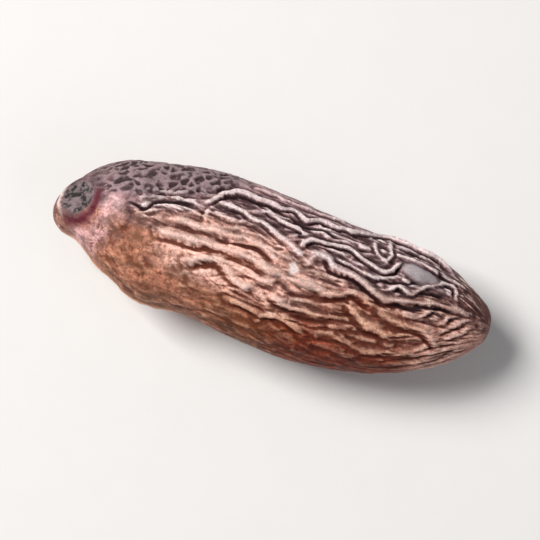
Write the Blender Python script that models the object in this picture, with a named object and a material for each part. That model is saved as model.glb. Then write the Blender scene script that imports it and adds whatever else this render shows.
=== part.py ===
"""Tonka bean: one dried seed in its wrinkled coat, lying on its broad side.

Metres, +Z up. The bean lies along X with its scar (the hilum) at the -X end and its broad
face up. The origin is under the middle of its box, on the plane of the small flat spot
that it rests on. The skin is one closed surface of two parameters, the share of the
length and the angle round the middle line, with the folds raised along its normals.
"""

import bpy
import numpy as np

MM = 0.001

# Driving sizes of the whole bean.
LENGTH = 34.0 * MM
REACH_BACK = 5.85 * MM
REACH_FRONT = 6.27 * MM
REACH_UP = 4.72 * MM
REACH_DOWN = 4.62 * MM
REST_DEPTH = 0.13 * MM
END_POWER = 2.3
SECTION_POWER = 2.2

# Share of the length, then the share of each reach there: back (+Y), front (-Y), up, down.
STATIONS = np.array((
    (0.00, 0.86, 0.90, 0.74, 0.92),
    (0.06, 1.11, 0.55, 0.86, 0.95),
    (0.13, 1.15, 0.73, 0.95, 0.96),
    (0.22, 1.08, 0.90, 1.00, 0.98),
    (0.34, 1.05, 0.85, 1.03, 1.00),
    (0.45, 1.00, 0.93, 1.03, 1.00),
    (0.57, 0.90, 1.01, 1.00, 1.00),
    (0.69, 0.82, 1.01, 0.97, 1.00),
    (0.82, 0.91, 0.99, 0.98, 0.98),
    (0.92, 0.88, 0.95, 0.97, 0.97),
    (1.00, 0.82, 0.86, 0.92, 0.96),
))

# The net of folds: cells are drawn out along the bean.
CELL_LONG = 4.0 * MM
CELL_ROUND = 1.28 * MM
FOLD_HEIGHT = 0.36 * MM
FOLD_WIDTH = 0.25 * MM
FOLD_WIDENING = 0.09 * MM
GROOVE_DEPTH = 0.09 * MM
GROOVE_PLACE = 0.48 * MM
FOLD_LEAN = 0.38
SLIT_DEPTH = 0.22 * MM
SLIT_PLACE = 1.0
SLIT_WIDTH = 0.30
NET_DRIFT = 1.7 * MM
SWAY = 0.55 * MM
CURL = 0.26 * MM
FLANK_FOLDS = 0.30
WAVE_HEIGHT = 0.17 * MM
PIT_CELL = 0.90 * MM
PIT_RELIEF = 0.14 * MM

# Where the folded skin starts and ends round the bean, in degrees from +Y over the top.
TOP_FOLDS = np.array((
    (0.10, 58, 80),
    (0.20, 54, 88),
    (0.30, 48, 100),
    (0.38, 40, 122),
    (0.55, 30, 146),
    (0.90, 26, 160),
))
BASE_FOLDS = np.array(((0.10, 235, 300), (0.30, 208, 330), (0.60, 202, 338), (0.90, 200, 340)))
PIT_BAND = np.array(((0.08, 8, 62), (0.30, 2, 50), (0.42, 6, 30)))
REST_TURN = 270.0

# Leading folds of the upper face: shares of the full height and of the full width, then a
# chain of points in millimetres from the scar's tip and towards +Y, seen from above.
LEADING_FOLDS = (
    (1.0, 1.0, ((11.1, 2.9), (12.6, 4.1), (13.6, 4.5), (16.1, 4.2), (17.6, 4.3), (18.6, 3.8),
                (19.5, 4.0), (21.3, 3.8), (24.2, 4.2), (25.6, 4.3), (27.5, 4.0), (30.1, 3.1))),
    (0.8, 1.0, ((11.9, 3.4), (14.0, 3.1), (14.8, 2.7), (16.0, 2.5), (17.7, 1.7), (19.5, 0.8))),
    (0.95, 1.0, ((18.7, 1.4), (19.1, 2.0), (19.9, 2.4), (21.7, 2.5), (22.6, 2.4), (23.6, 1.9),
                 (24.9, 1.5), (25.7, 1.9), (26.3, 2.7))),
    (0.55, 1.0, ((24.0, 3.7), (24.2, 2.9), (25.0, 2.4), (25.4, 3.1), (25.1, 4.1))),
    (0.9, 1.15, ((9.0, 1.0), (11.7, 1.0), (15.2, 1.1), (17.2, 0.3), (17.9, 0.0))),
    (1.0, 1.35, ((8.4, -0.1), (10.8, 0.0), (14.9, -0.1), (17.8, -0.8), (20.3, -1.0), (21.5, -1.2),
                 (23.5, -0.7), (25.1, -1.1))),
    (0.9, 1.0, ((10.9, -1.7), (13.1, -1.0), (13.8, -1.2), (14.7, -1.9), (15.7, -2.4), (16.2, -1.9))),
    (0.65, 1.0, ((13.7, -1.0), (15.6, -1.3), (17.1, -1.5), (18.2, -1.2))),
    (0.6, 1.0, ((14.7, -3.5), (16.5, -3.7), (17.4, -4.0))),
    (0.7, 1.0, ((17.2, -4.3), (17.7, -3.7), (18.6, -3.6), (19.6, -3.9), (20.7, -4.5))),
    (0.75, 1.0, ((17.5, -2.3), (19.0, -2.8), (20.8, -2.8), (23.1, -2.7))),
    (1.0, 1.25, ((19.5, 0.7), (20.2, 1.3), (21.0, 1.3), (21.6, 0.8), (23.4, 0.5), (25.1, -0.3),
                 (26.1, -0.4), (28.3, 0.2), (30.9, 0.3), (32.1, 0.3))),
    (0.7, 1.0, ((25.6, 0.1), (26.4, 0.7), (27.3, 0.6), (28.3, 1.2), (29.7, 2.0), (30.5, 1.8),
                (30.7, 1.1))),
    (1.0, 1.5, ((23.2, -1.5), (24.8, -2.4), (26.8, -2.9))),
    (0.85, 1.3, ((25.2, -1.1), (26.1, -1.6), (28.1, -1.7), (29.1, -1.8), (30.4, -2.5))),
    (0.75, 1.0, ((26.7, -1.0), (27.8, -1.1), (28.6, -1.0), (29.4, 0.0))),
    (0.6, 1.0, ((30.0, -1.1), (30.6, -0.4), (31.5, 0.1))),
    (0.6, 1.0, ((29.8, -1.6), (30.7, -1.1), (32.2, 0.1))),
    (0.5, 1.0, ((30.8, -2.0), (31.6, -1.1), (32.5, -0.4))),
    (0.5, 1.0, ((14.6, 5.2), (17.4, 4.9), (20.1, 4.7), (21.7, 4.5))),
    (0.5, 1.0, ((18.8, 3.2), (20.9, 3.0), (22.5, 2.9))),
    (0.6, 1.0, ((21.4, 1.5), (22.6, 1.3), (23.6, 1.0), (24.8, 1.0), (26.1, 1.5))),
    (0.5, 1.0, ((11.6, 2.9), (11.6, 2.0), (11.8, 1.2))),
)
FOLD_TAPER = 1.0 * MM

# Leading grooves: shares of the full depth and of the full width, then a chain as above.
LEADING_GROOVES = (
    (1.0, 1.2, ((5.6, 1.5), (6.5, 1.4), (7.1, 1.2), (7.7, 1.8), (9.5, 2.3), (10.8, 2.5))),
    (0.9, 1.0, ((8.4, 0.5), (9.7, 0.5), (11.0, 0.7))),
    (0.8, 1.0, ((11.5, -2.0), (12.4, -1.8), (13.4, -1.5))),
    (0.9, 1.0, ((12.4, 0.5), (14.2, 0.5), (16.0, 0.5), (17.5, -0.3))),
    (0.9, 1.0, ((12.0, -0.8), (14.4, -0.8), (17.2, -1.2))),
    (0.8, 1.0, ((14.9, -1.6), (15.4, -1.8), (16.0, -2.1))),
    (0.9, 1.2, ((14.4, -2.8), (15.5, -3.0), (16.7, -3.0))),
    (0.8, 1.0, ((10.9, 3.7), (12.2, 4.3), (13.6, 4.8), (14.7, 4.8))),
    (1.0, 1.5, ((17.2, 3.8), (18.6, 3.3), (20.2, 3.2), (21.6, 3.1))),
    (1.0, 2.0, ((25.8, 3.7), (26.8, 3.7), (28.0, 3.4))),
    (1.0, 2.0, ((28.9, 3.0), (29.4, 2.4), (30.3, 2.3))),
    (0.9, 1.0, ((25.2, 0.7), (26.8, 1.1), (28.8, 1.7))),
    (0.9, 1.6, ((27.8, 0.7), (29.0, 0.9), (30.2, 1.1))),
    (0.9, 1.2, ((21.6, -2.0), (22.6, -1.3), (23.7, -1.6), (24.8, -2.0), (25.9, -2.2))),
    (0.9, 1.2, ((25.6, -0.9), (27.0, -0.6), (29.2, -0.4))),
    (0.8, 1.2, ((19.3, -3.4), (21.0, -3.4), (23.0, -3.1))),
)
LEADING_GROOVE_DEPTH = 0.24 * MM
LEADING_GROOVE_WIDTH = 0.19 * MM

# Smooth raised islands of the upper face: place as above, then length, width and height.
ISLANDS = (
    (27.7, 2.2, 1.35, 0.66, 0.30),
    (4.7, 0.7, 1.2, 1.5, 0.18),
)

# The middle of the upper face, where the folds are wide plates: place and half sizes.
MIDDLE_PLACE = (14.6, -0.5)
MIDDLE_SIZE = (8.0 * MM, 2.6 * MM)
MIDDLE_WIDENING = 0.55

# The scar: a shallow dish with a raised rim, and a keel that runs from it along the edge.
SCAR_PLACE = (1.75, 1.1)
SCAR_RADIUS = 1.45 * MM
SCAR_DEPTH = 0.20 * MM
SCAR_RIM = 0.15 * MM
KEEL_TURN = 177.0
KEEL_HEIGHT = 0.16 * MM
KEEL_WIDTH = 0.30 * MM

ROWS = 420
COLUMNS = 240
TRIANGLES = 11400
TIP_RUN_OUT = 1.2 * MM
SEED = 41

MEAN_REACH = (REACH_BACK + REACH_FRONT + REACH_UP + REACH_DOWN) / 4
GIRTH = 2 * np.pi * MEAN_REACH


def smooth_step(low, high, value):
    """0 below low, 1 above high, and an even S between them."""
    share = np.clip((value - low) / (high - low), 0, 1)
    return share * share * (3 - 2 * share)


def curve_through(stations, values, at):
    """A cubic between each two stations, with the mean slope of the neighbours at each."""
    slopes = np.gradient(values, stations)
    left = np.clip(np.searchsorted(stations, at, side="right") - 1, 0, len(stations) - 2)
    width = stations[left + 1] - stations[left]
    share = (at - stations[left]) / width
    rise = share * share * (3 - 2 * share)
    enter = share * (1 - share) ** 2 * width * slopes[left]
    leave = share * share * (share - 1) * width * slopes[left + 1]
    return values[left] + (values[left + 1] - values[left]) * rise + enter + leave


def dome(share):
    """Rounded ends: the square root of 1 - |2t - 1|^p, which is 0 at both tips."""
    return np.sqrt(1 - np.abs(2 * share - 1) ** END_POWER)


def reaches(share):
    """How far the skin lies from the middle line at this share: back, front, up, down."""
    full = (REACH_BACK, REACH_FRONT, REACH_UP, REACH_DOWN)
    factors = (curve_through(STATIONS[:, 0], STATIONS[:, side], share) for side in (1, 2, 3, 4))
    return [size * factor * dome(share) for size, factor in zip(full, factors)]


def section_radius(share, turn):
    """A superellipse with its own half axis on each of the four sides."""
    back, front, up, down = reaches(share)
    side = np.where(np.cos(turn) > 0, back, front)
    rise = np.where(np.sin(turn) > 0, up, down)
    power = SECTION_POWER
    sum_of_sides = np.abs(np.cos(turn) / side) ** power + np.abs(np.sin(turn) / rise) ** power
    return sum_of_sides ** (-1 / power)


def skin_distance(share):
    """Distance over the skin from the scar's tip, along the mean outline."""
    fine = (1 - np.cos(np.linspace(0, np.pi, 400))) / 2
    steps = np.hypot(np.diff(fine) * LENGTH, np.diff(dome(fine)) * MEAN_REACH)
    return np.interp(share, fine, np.concatenate(([0], np.cumsum(steps))))


def point_above(place):
    """Share of the length and turn of a point of the upper face, from its place in mm."""
    share = place[0] * MM / LENGTH
    across = place[1] * MM
    back, front, up, _ = reaches(np.array([share]))
    side = np.where(across > 0, back, front)
    height = up * (1 - np.abs(across / side) ** SECTION_POWER) ** (1 / SECTION_POWER)
    return share, float(np.arctan2(height, across)[0])


def noise(along, around, cell_long, cell_round, seed):
    """Smooth random heights from -1 to 1 on a lattice that closes round the bean."""
    columns = max(3, round(GIRTH / cell_round))
    values = np.random.default_rng(seed).uniform(-1, 1, (64, columns))
    u = along / cell_long + 8
    v = around / GIRTH * columns
    i, j = np.floor(u).astype(int), np.floor(v).astype(int)
    a, b = smooth_step(0, 1, u - i), smooth_step(0, 1, v - j)
    near = values[i % 64, j % columns] * (1 - b) + values[i % 64, (j + 1) % columns] * b
    far = values[(i + 1) % 64, j % columns] * (1 - b) + values[(i + 1) % 64, (j + 1) % columns] * b
    return near * (1 - a) + far * a


def fold_profile(distance, low_side):
    """Height and slit across a fold that leans to its low side, which is 1 there and -1 above.

    The height is a wide swell under a narrower ridge, 1 at the crest, gentle above and steep
    below. The slit is a narrow bell at the foot of the steep side. Distances are in widths.
    """
    leaning = distance / (1 - FOLD_LEAN * low_side)
    height = 0.6 * np.exp(-(leaning ** 2)) + 0.4 * np.exp(-((leaning / 0.42) ** 1.5))
    slit = np.exp(-(((distance - SLIT_PLACE) / SLIT_WIDTH) ** 2)) * np.clip(low_side, 0, 1)
    return height, slit


def net(along, around, squeeze, cell_long, cell_round, width, seed):
    """Crests and slits on the borders of jittered cells, the border's distance and a mood.

    For a point whose nearest cell middle is p and another is q, the border's distance is
    (|q|^2 - |p|^2) / (2 |q - p|), turned into metres by the stretch of the cell lattice.
    The crest is strength * the fold profile of distance / width, strongest lengthwise, and
    a border that lies towards +Y of the point has the point on its low side. The mood is a
    random number of the point's own cell.
    """
    columns = round(GIRTH / cell_round)
    rng = np.random.default_rng(seed)
    jitter = rng.uniform(-0.42, 0.42, (64, columns, 2))
    mood = rng.uniform(0, 1, (64, columns))
    u = along / cell_long + 8
    v = around / GIRTH * columns
    i, j = np.floor(u).astype(int), np.floor(v).astype(int)
    places, moods = [], []
    for di in (-2, -1, 0, 1, 2):
        for dj in (-2, -1, 0, 1, 2):
            row, column = (i + di) % 64, (j + dj) % columns
            shift = jitter[row, column]
            brick = 0.5 * ((i + di) % 2)
            places.append((i + di + 0.5 + shift[..., 0] - u, j + dj + brick + shift[..., 1] - v))
            moods.append(mood[row, column])
    places, moods = np.array(places), np.array(moods)
    square = (places ** 2).sum(1)
    own = square.argmin(0)[None]
    own_square = np.take_along_axis(square, own, 0)
    own_place = np.take_along_axis(places, own[:, None], 0)
    own_mood = np.take_along_axis(moods, own, 0)
    apart = places - own_place
    gap = np.sqrt((apart ** 2).sum(1))
    gap[gap < 1e-9] = np.inf
    lengthwise = np.abs(apart[:, 1]) / gap
    stretch = np.hypot(apart[:, 0] / gap / cell_long, lengthwise / (cell_round * squeeze))
    distance = (square - own_square) / (2 * gap) / np.maximum(stretch, 1e-9)
    distance = np.where(np.isinf(gap), np.inf, distance)
    strength = (0.28 + 0.72 * lengthwise) * (0.62 + 0.38 * np.cos(2 * np.pi * (moods + own_mood)))
    height, slit = fold_profile(distance / width, -apart[:, 1] / gap)
    return (strength * height).max(0), (strength * slit).max(0), distance.min(0), own_mood[0]


def leading_lines(lines, along, around, squeeze, width):
    """Strength, slit and distance of hand-placed lines, each a smooth chain over the skin.

    Each line has its share of the height, its share of the width and its chain. A point at
    the distance d has the height's share of the fold profile of d / width, and both ends
    of a line run out over the length of a taper. The low side of a line is the one towards -Y.
    """
    crest = np.zeros_like(along)
    slit = np.zeros_like(along)
    nearest = np.full_like(along, np.inf)
    for share, widening, chain in lines:
        placed = np.array([point_above(place) for place in chain])
        steps = np.arange(len(chain), dtype=float)
        fine = np.linspace(0, steps[-1], 4 * (len(chain) - 1) + 1)
        s = curve_through(steps, skin_distance(placed[:, 0]), fine)
        q = curve_through(steps, placed[:, 1] / (2 * np.pi) * GIRTH, fine)
        run = np.concatenate(([0], np.cumsum(np.hypot(np.diff(s), np.diff(q)))))
        for k in range(len(fine) - 1):
            ds, dq = s[k + 1] - s[k], (q[k + 1] - q[k]) * squeeze
            ps, pq = along - s[k], (around - q[k]) * squeeze
            part = np.clip((ps * ds + pq * dq) / (ds * ds + dq * dq), 0, 1)
            off_s, off_q = ps - part * ds, pq - part * dq
            distance = np.hypot(off_s, off_q)
            low_side = (ds * off_q - dq * off_s) / (np.hypot(ds, dq) * np.maximum(distance, 1e-9))
            place = run[k] + part * (run[k + 1] - run[k])
            taper = smooth_step(-0.3 * FOLD_TAPER, FOLD_TAPER, np.minimum(place, run[-1] - place))
            tall, sunk = fold_profile(distance / (width * widening), low_side)
            crest = np.maximum(crest, share * taper * tall)
            slit = np.maximum(slit, share * taper * sunk)
            nearest = np.minimum(nearest, distance)
    return crest, slit, nearest


def band(share, degrees, table, soft=6.0):
    """1 between two angles that change along the bean, with soft edges."""
    start = np.interp(share, table[:, 0], table[:, 1])
    end = np.interp(share, table[:, 0], table[:, 2])
    enter = smooth_step(start - soft, start + soft, degrees)
    return enter * (1 - smooth_step(end - soft, end + soft, degrees))


def distance_from(points, place, size):
    """Distance from a place of the upper face, in units of the size (long, wide)."""
    share, turn = point_above(place)
    radius = section_radius(np.array([share]), np.array([turn]))[0]
    middle = np.array(((share - 0.5) * LENGTH, radius * np.cos(turn), radius * np.sin(turn)))
    away = points - middle
    across = np.hypot(away[..., 1], away[..., 2])
    return np.hypot(away[..., 0] / size[0], across / size[1])


class Place:
    """Where each point of the skin lies, and the measures that every form of relief reads."""

    def __init__(self, share, turn, points):
        self.share, self.turn, self.points = share, turn, points
        self.degrees = np.degrees(turn)
        self.along = skin_distance(share)
        self.around = turn / (2 * np.pi) * GIRTH
        self.squeeze = np.maximum(section_radius(share, turn) / MEAN_REACH, 0.05)
        self.sway = SWAY * self.noise(5.5, 4.0, 1)
        self.curl = CURL * self.noise(2.1, 1.6, 7)
        self.low_side = smooth_step(80, 112, self.degrees) * (1 - smooth_step(230, 260, self.degrees))
        scar = distance_from(points, SCAR_PLACE, (SCAR_RADIUS, SCAR_RADIUS))
        self.scar = scar + 0.07 * self.noise(0.9, 0.8, 24)
        self.middle = 1 - smooth_step(0.6, 1.3, distance_from(points, MIDDLE_PLACE, MIDDLE_SIZE))
        self.folded = self.folded_share()

    def noise(self, long, round_, step):
        """Smooth noise from -1 to 1 with features of these lengths in millimetres."""
        return noise(self.along, self.around, long * MM, round_ * MM, SEED + step)

    def folded_share(self):
        """How much of the net of folds shows here: whole on top and base, less on the flanks."""
        share = self.share
        ragged = self.degrees + 9 * self.noise(3.5, 2.5, 6)
        top = band(share, ragged, TOP_FOLDS) * smooth_step(0.13, 0.26, share)
        base = band(share, ragged, BASE_FOLDS) * smooth_step(0.08, 0.20, share)
        flank = FLANK_FOLDS * smooth_step(0.22, 0.40, share)
        tips = 1 - smooth_step(0.90, 0.975, share)
        return np.maximum(np.clip(top + base, 0, 1), flank) * (0.15 + 0.85 * tips)


def net_folds(at, width):
    """Crests, slits and border distance of the net of folds between the leading ones."""
    drift = NET_DRIFT * smooth_step(8 * MM, 26 * MM, at.along) * np.where(at.degrees < 180, 1, -1)
    drift = drift * smooth_step(0, 25, 90 - np.abs(at.degrees % 180 - 90))
    kink = 0.07 * MM * at.noise(0.55, 0.5, 26)
    along = at.along + 2 * at.curl + kink
    around = at.around - drift + at.sway + at.curl + kink
    crest, slit, border, _ = net(along, around, at.squeeze, CELL_LONG, CELL_ROUND, width, SEED)
    calm = (0.75 + 0.25 * at.noise(7, 5, 2)) * (1 - 0.35 * at.low_side) * (1 - 0.4 * at.middle)
    crest = crest * (0.8 + 0.35 * at.noise(1.3, 1.1, 27))
    return crest * at.folded * calm, slit * at.folded * calm, border


def fold_relief(at):
    """The leading folds, the net of folds between them, and the grooves and slits."""
    width = (FOLD_WIDTH + FOLD_WIDENING * at.low_side) * (1 + 0.25 * at.noise(1.9, 1.5, 12))
    width = width * (1 + MIDDLE_WIDENING * at.middle)
    crest, slit, border = net_folds(at, width)
    wobble = 0.15 * MM * at.noise(1.1, 0.9, 13) + 0.06 * MM * at.noise(0.5, 0.45, 25)
    along, around = at.along + wobble, at.around + wobble
    lead, lead_slit, lead_distance = leading_lines(LEADING_FOLDS, along, around, at.squeeze, width)
    lead = lead * (0.82 + 0.34 * at.noise(1.2, 1.0, 14))
    cut, _, _ = leading_lines(LEADING_GROOVES, along, around, at.squeeze, LEADING_GROOVE_WIDTH)

    clear = smooth_step(0.2 * MM, 0.55 * MM, lead_distance)
    nearest = np.minimum(border + (1 - at.folded) * 2 * MM, lead_distance)
    groove = np.exp(-(((nearest - GROOVE_PLACE) / (0.4 * GROOVE_PLACE)) ** 2))
    groove = groove * np.maximum(at.folded, np.exp(-((lead_distance / MM) ** 2)))
    raised = np.maximum(crest * clear, lead)
    broken = 0.25 + 0.75 * smooth_step(-0.5, 0.3, at.noise(2.4, 1.4, 31))
    off_crest = 1 - 0.8 * np.clip(lead, 0, 1)
    slit = np.maximum(lead_slit, slit * clear) * broken * off_crest
    cut = cut * off_crest
    height = FOLD_HEIGHT * raised - GROOVE_DEPTH * groove
    height = height - np.maximum(LEADING_GROOVE_DEPTH * cut, SLIT_DEPTH * slit)
    return height, clear


def pit_relief(at):
    """Irregular pits between webs, on the shoulder beside the scar."""
    pitted = band(at.share, at.degrees, PIT_BAND) * smooth_step(0.07, 0.13, at.share)
    pitted = pitted * (1 - smooth_step(0.36, 0.44, at.share))
    warp = 0.24 * MM * at.noise(0.8, 0.7, 17) + 0.12 * MM * at.noise(0.4, 0.35, 28)
    along, around = at.along + at.curl + warp, at.around + at.curl - warp
    _, _, border, mood = net(along, around, at.squeeze, PIT_CELL, 0.8 * PIT_CELL, FOLD_WIDTH, SEED + 3)
    deep = smooth_step(0.03 * MM, 0.24 * MM, border) * (0.4 + 0.6 * smooth_step(0.1, 0.7, mood))
    deep = deep * (0.4 + 0.6 * smooth_step(-0.6, 0.4, at.noise(0.75, 0.6, 35)))
    return -PIT_RELIEF * (deep - 0.3) * pitted


def add_islands(at, height):
    """Smooth raised patches of uneven outline, which calm the skin round them."""
    for length, across, long, wide, tall in ISLANDS:
        off = distance_from(at.points, (length, across), (long * MM, wide * MM))
        off = off + 0.22 * at.noise(1.3, 1.1, 22)
        height = np.where(off < 1.3, height * smooth_step(0.8, 1.3, off), height)
        height = height + tall * MM * (1 - smooth_step(0.3, 1.2, off))
    return height


def add_scar(at, height):
    """The scar's dish, its rim, highest at the tip, and the keel that leaves it."""
    height = height * smooth_step(0.9, 1.4, at.scar)
    height = height - SCAR_DEPTH * (1 - smooth_step(0.6, 1.0, at.scar))
    rim = np.exp(-(((at.scar - 1.12) / 0.16) ** 2))
    rim = rim * (0.35 + 0.65 * smooth_step(0.07, 0.03, at.share))
    keel_distance = np.abs(at.degrees - KEEL_TURN) / 360 * GIRTH * at.squeeze
    keel = np.exp(-((keel_distance / KEEL_WIDTH) ** 2)) * (1 - smooth_step(0.26, 0.42, at.share))
    keel = keel * smooth_step(0.01, 0.05, at.share)
    return height + SCAR_RIM * rim + KEEL_HEIGHT * keel


def relief(at):
    """Height of every form over the plain body, in metres along its normal."""
    height, clear = fold_relief(at)
    height = height + pit_relief(at) * clear
    height = height + WAVE_HEIGHT * at.noise(9, 5, 4) + 0.4 * WAVE_HEIGHT * at.noise(2.6, 2.2, 5)
    height = add_scar(at, add_islands(at, height))
    rest = np.hypot((at.share - 0.52) * LENGTH / (6 * MM), (at.degrees - REST_TURN) / 26)
    return evened_at_tips(at, height * smooth_step(0.6, 1.15, rest))


def evened_at_tips(at, values):
    """Values that run out to the mean of their ring at each tip, so that no star shows there."""
    mean = values.mean(1, keepdims=True)
    from_tip = np.minimum(at.along, at.along.max() - at.along)
    return mean + (values - mean) * smooth_step(0, TIP_RUN_OUT, from_tip)


def skin_points():
    """The skin as an array of rows by columns, without the two tips."""
    share = ((1 - np.cos(np.linspace(0, np.pi, ROWS + 1)[1:-1])) / 2)[:, None]
    turn = (np.arange(COLUMNS) / COLUMNS * 2 * np.pi)[None, :]
    share, turn = np.broadcast_arrays(share, turn)
    radius = section_radius(share, turn)
    plain = np.stack(((share - 0.5) * LENGTH, radius * np.cos(turn), radius * np.sin(turn)), -1)
    along_x = np.gradient(plain, axis=0)
    around_x = np.roll(plain, -1, 1) - np.roll(plain, 1, 1)
    normal = np.cross(around_x, along_x)
    normal /= np.linalg.norm(normal, axis=-1, keepdims=True)
    return plain + normal * relief(Place(share, turn, plain))[..., None]


def closed_mesh(name, grid):
    """A mesh of quads between the rows, closed by a fan of triangles at each tip."""
    rows, columns, _ = grid.shape
    tips = [grid[end].mean(0) for end in (0, -1)]
    points = np.concatenate((grid.reshape(-1, 3), tips))
    index = np.arange(rows * columns).reshape(rows, columns)
    following = np.roll(index, -1, 1)
    quads = np.stack((index[:-1], following[:-1], following[1:], index[1:]), -1).reshape(-1, 4)
    first = np.stack((np.full(columns, rows * columns), following[0], index[0]), -1)
    last = np.stack((np.full(columns, rows * columns + 1), index[-1], following[-1]), -1)
    mesh = bpy.data.meshes.new(name)
    mesh.from_pydata(points.tolist(), [], quads.tolist() + first.tolist() + last.tolist())
    mesh.update()
    mesh.shade_smooth()
    return mesh


def coat_material():
    """Dark brown dried seed coat with a dull sheen."""
    material = bpy.data.materials.new("bean_coat")
    material.use_nodes = True
    shader = material.node_tree.nodes["Principled BSDF"]
    shader.inputs["Base Color"].default_value = (0.085, 0.034, 0.022, 1.0)
    shader.inputs["Roughness"].default_value = 0.52
    shader.inputs["Metallic"].default_value = 0.0
    return material


def rest_cutter():
    """A box under the resting plane, which cuts the small flat spot."""
    bpy.ops.mesh.primitive_cube_add(size=1)
    cutter = bpy.context.object
    cutter.name = "rest_cutter"
    depth = 4 * MM
    cutter.scale = (2 * LENGTH, 2 * LENGTH, depth)
    cutter.location = (0, 0, -depth / 2)
    cutter.hide_render = True
    cutter.display_type = "WIRE"
    return cutter


def build_bean():
    """The whole seed: fine skin, thinned to its budget, then cut flat where it rests."""
    grid = skin_points()
    low, high = grid.reshape(-1, 3).min(0), grid.reshape(-1, 3).max(0)
    grid = grid - np.array(((low[0] + high[0]) / 2, (low[1] + high[1]) / 2, low[2] + REST_DEPTH))
    bean = bpy.data.objects.new("tonka_bean", closed_mesh("tonka_bean", grid))
    bpy.context.collection.objects.link(bean)
    bean.data.materials.append(coat_material())
    thin = bean.modifiers.new("thin", "DECIMATE")
    thin.ratio = TRIANGLES / (2 * (ROWS - 1) * COLUMNS)
    thin.use_collapse_triangulate = True
    rest = bean.modifiers.new("rest", "BOOLEAN")
    rest.operation = "DIFFERENCE"
    rest.solver = "EXACT"
    rest.object = rest_cutter()
    return bean


def main():
    """Clear the scene and model the bean."""
    for old in list(bpy.data.objects):
        bpy.data.objects.remove(old, do_unlink=True)
    build_bean()


main()
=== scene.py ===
"""The looks of a tonka bean: its fine wrinkled skin, its coat and a plain studio stage.

The fine skin is one closed surface of two parameters, the share of the length and the turn
round the middle line, worked out with numpy and in metres, as in the part's source. It
stands for the CAD node tonka_bean. Every mark that the coat's colours follow is an
attribute of the skin, so the patterns stay on the folds that they belong to.
"""

import math

import bpy
import numpy as np
from mathutils import Matrix, Vector


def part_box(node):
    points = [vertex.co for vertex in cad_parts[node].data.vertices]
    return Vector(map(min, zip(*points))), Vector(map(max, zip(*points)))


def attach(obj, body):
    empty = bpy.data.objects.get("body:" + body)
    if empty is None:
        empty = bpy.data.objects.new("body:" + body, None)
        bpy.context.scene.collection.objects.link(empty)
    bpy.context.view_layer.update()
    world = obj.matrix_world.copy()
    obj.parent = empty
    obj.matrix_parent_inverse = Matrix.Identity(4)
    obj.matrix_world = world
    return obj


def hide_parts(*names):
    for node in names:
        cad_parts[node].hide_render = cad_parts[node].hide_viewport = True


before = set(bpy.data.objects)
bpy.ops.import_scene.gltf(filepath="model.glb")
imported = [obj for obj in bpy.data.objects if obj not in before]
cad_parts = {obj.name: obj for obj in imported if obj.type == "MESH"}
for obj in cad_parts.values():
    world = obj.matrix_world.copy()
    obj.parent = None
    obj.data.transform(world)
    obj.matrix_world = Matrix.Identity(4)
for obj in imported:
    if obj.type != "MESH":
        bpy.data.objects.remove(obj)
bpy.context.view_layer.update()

bl_info = {
    "name": "Tonka Bean",
    "version": (1, 0, 0),
    "blender": (4, 5, 0),
    "location": "View3D > Sidebar > Tonka Bean",
    "description": "Makes a dried tonka bean with its folded coat, and a plain studio stage",
    "category": "Add Mesh",
}

NODE = "tonka_bean"
MM = 0.001

# Driving sizes of the whole bean, as in the part's source.
LENGTH = 34.0 * MM
REACH_BACK = 5.85 * MM
REACH_FRONT = 6.27 * MM
REACH_UP = 4.72 * MM
REACH_DOWN = 4.62 * MM
REST_DEPTH = 0.13 * MM
END_POWER = 2.3
SECTION_POWER = 2.2

# Share of the length, then the share of each reach there: back (+Y), front (-Y), up, down.
STATIONS = np.array((
    (0.00, 0.86, 0.90, 0.74, 0.92),
    (0.06, 1.11, 0.55, 0.86, 0.95),
    (0.13, 1.15, 0.73, 0.95, 0.96),
    (0.22, 1.08, 0.90, 1.00, 0.98),
    (0.34, 1.05, 0.85, 1.03, 1.00),
    (0.45, 1.00, 0.93, 1.03, 1.00),
    (0.57, 0.90, 1.01, 1.00, 1.00),
    (0.69, 0.82, 1.01, 0.97, 1.00),
    (0.82, 0.91, 0.99, 0.98, 0.98),
    (0.92, 0.88, 0.95, 0.97, 0.97),
    (1.00, 0.82, 0.86, 0.92, 0.96),
))

# The net of folds: cells are drawn out along the bean.
CELL_LONG = 4.0 * MM
CELL_ROUND = 1.28 * MM
FOLD_WIDTH = 0.25 * MM
FOLD_WIDENING = 0.09 * MM
GROOVE_DEPTH = 0.09 * MM
GROOVE_PLACE = 0.48 * MM
FOLD_LEAN = 0.38
SLIT_DEPTH = 0.22 * MM
SLIT_PLACE = 1.0
SLIT_WIDTH = 0.30
NET_DRIFT = 1.7 * MM
SWAY = 0.55 * MM
CURL = 0.26 * MM
FLANK_FOLDS = 0.30
WAVE_HEIGHT = 0.17 * MM
PIT_CELL = 0.90 * MM

# Where the folded skin starts and ends round the bean, in degrees from +Y over the top.
TOP_FOLDS = np.array((
    (0.10, 58, 80), (0.20, 54, 88), (0.30, 48, 100),
    (0.38, 40, 122), (0.55, 30, 146), (0.90, 26, 160),
))
BASE_FOLDS = np.array(((0.10, 235, 300), (0.30, 208, 330), (0.60, 202, 338), (0.90, 200, 340)))
PIT_BAND = np.array(((0.08, 8, 62), (0.30, 2, 50), (0.42, 6, 30)))

# The lower edge of the painted sky reflection, a grey mauve cast on the back's upper side:
# share of the length, then millimetres to +Y.
SKY_REFLECTION_EDGE = np.array((
    (0.08, 0.9), (0.20, 1.2), (0.35, 1.6), (0.50, 1.0), (0.65, 0.2), (0.80, 0.1), (0.93, 0.9),
))

# The flat spot that the bean rests on: share of the length, turn in degrees, and half sizes.
REST_SHARE = 0.52
REST_TURN = 270.0
REST_LONG = 6 * MM
REST_DEGREES = 26

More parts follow.
